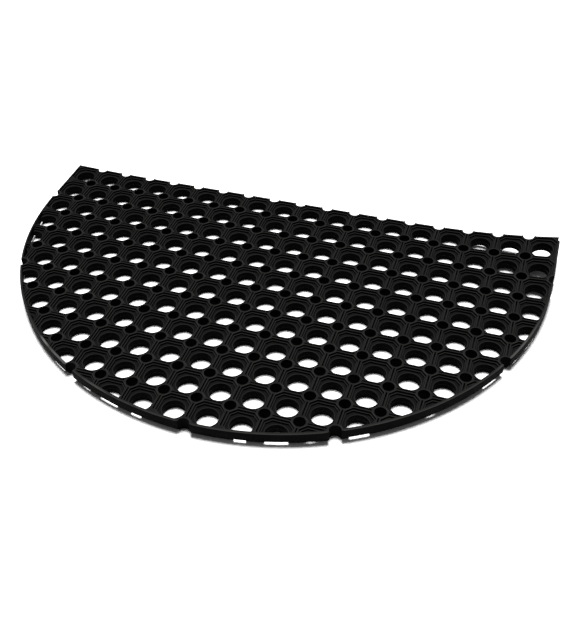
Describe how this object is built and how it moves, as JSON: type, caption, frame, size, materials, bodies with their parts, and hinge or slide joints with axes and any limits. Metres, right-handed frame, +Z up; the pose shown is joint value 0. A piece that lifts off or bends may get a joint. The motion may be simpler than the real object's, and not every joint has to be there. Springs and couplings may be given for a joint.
{
  "type": "half round doormat",
  "caption": "Half round moulded rubber ring doormat with open octagonal cells, small round holes on a square grid and a curled back corner.",
  "frame": {"origin": "on the floor, under the centre of the mat's bounding box", "axes": "+X along the straight back edge, +Y towards the straight back edge, +Z up"},
  "size_m": [0.75, 0.4581, 0.0356],
  "materials": {
    "rubber": "dull moulded black rubber"
  },
  "bodies": {
    "root": {"mat": "rubber"}
  },
  "joints": []
}
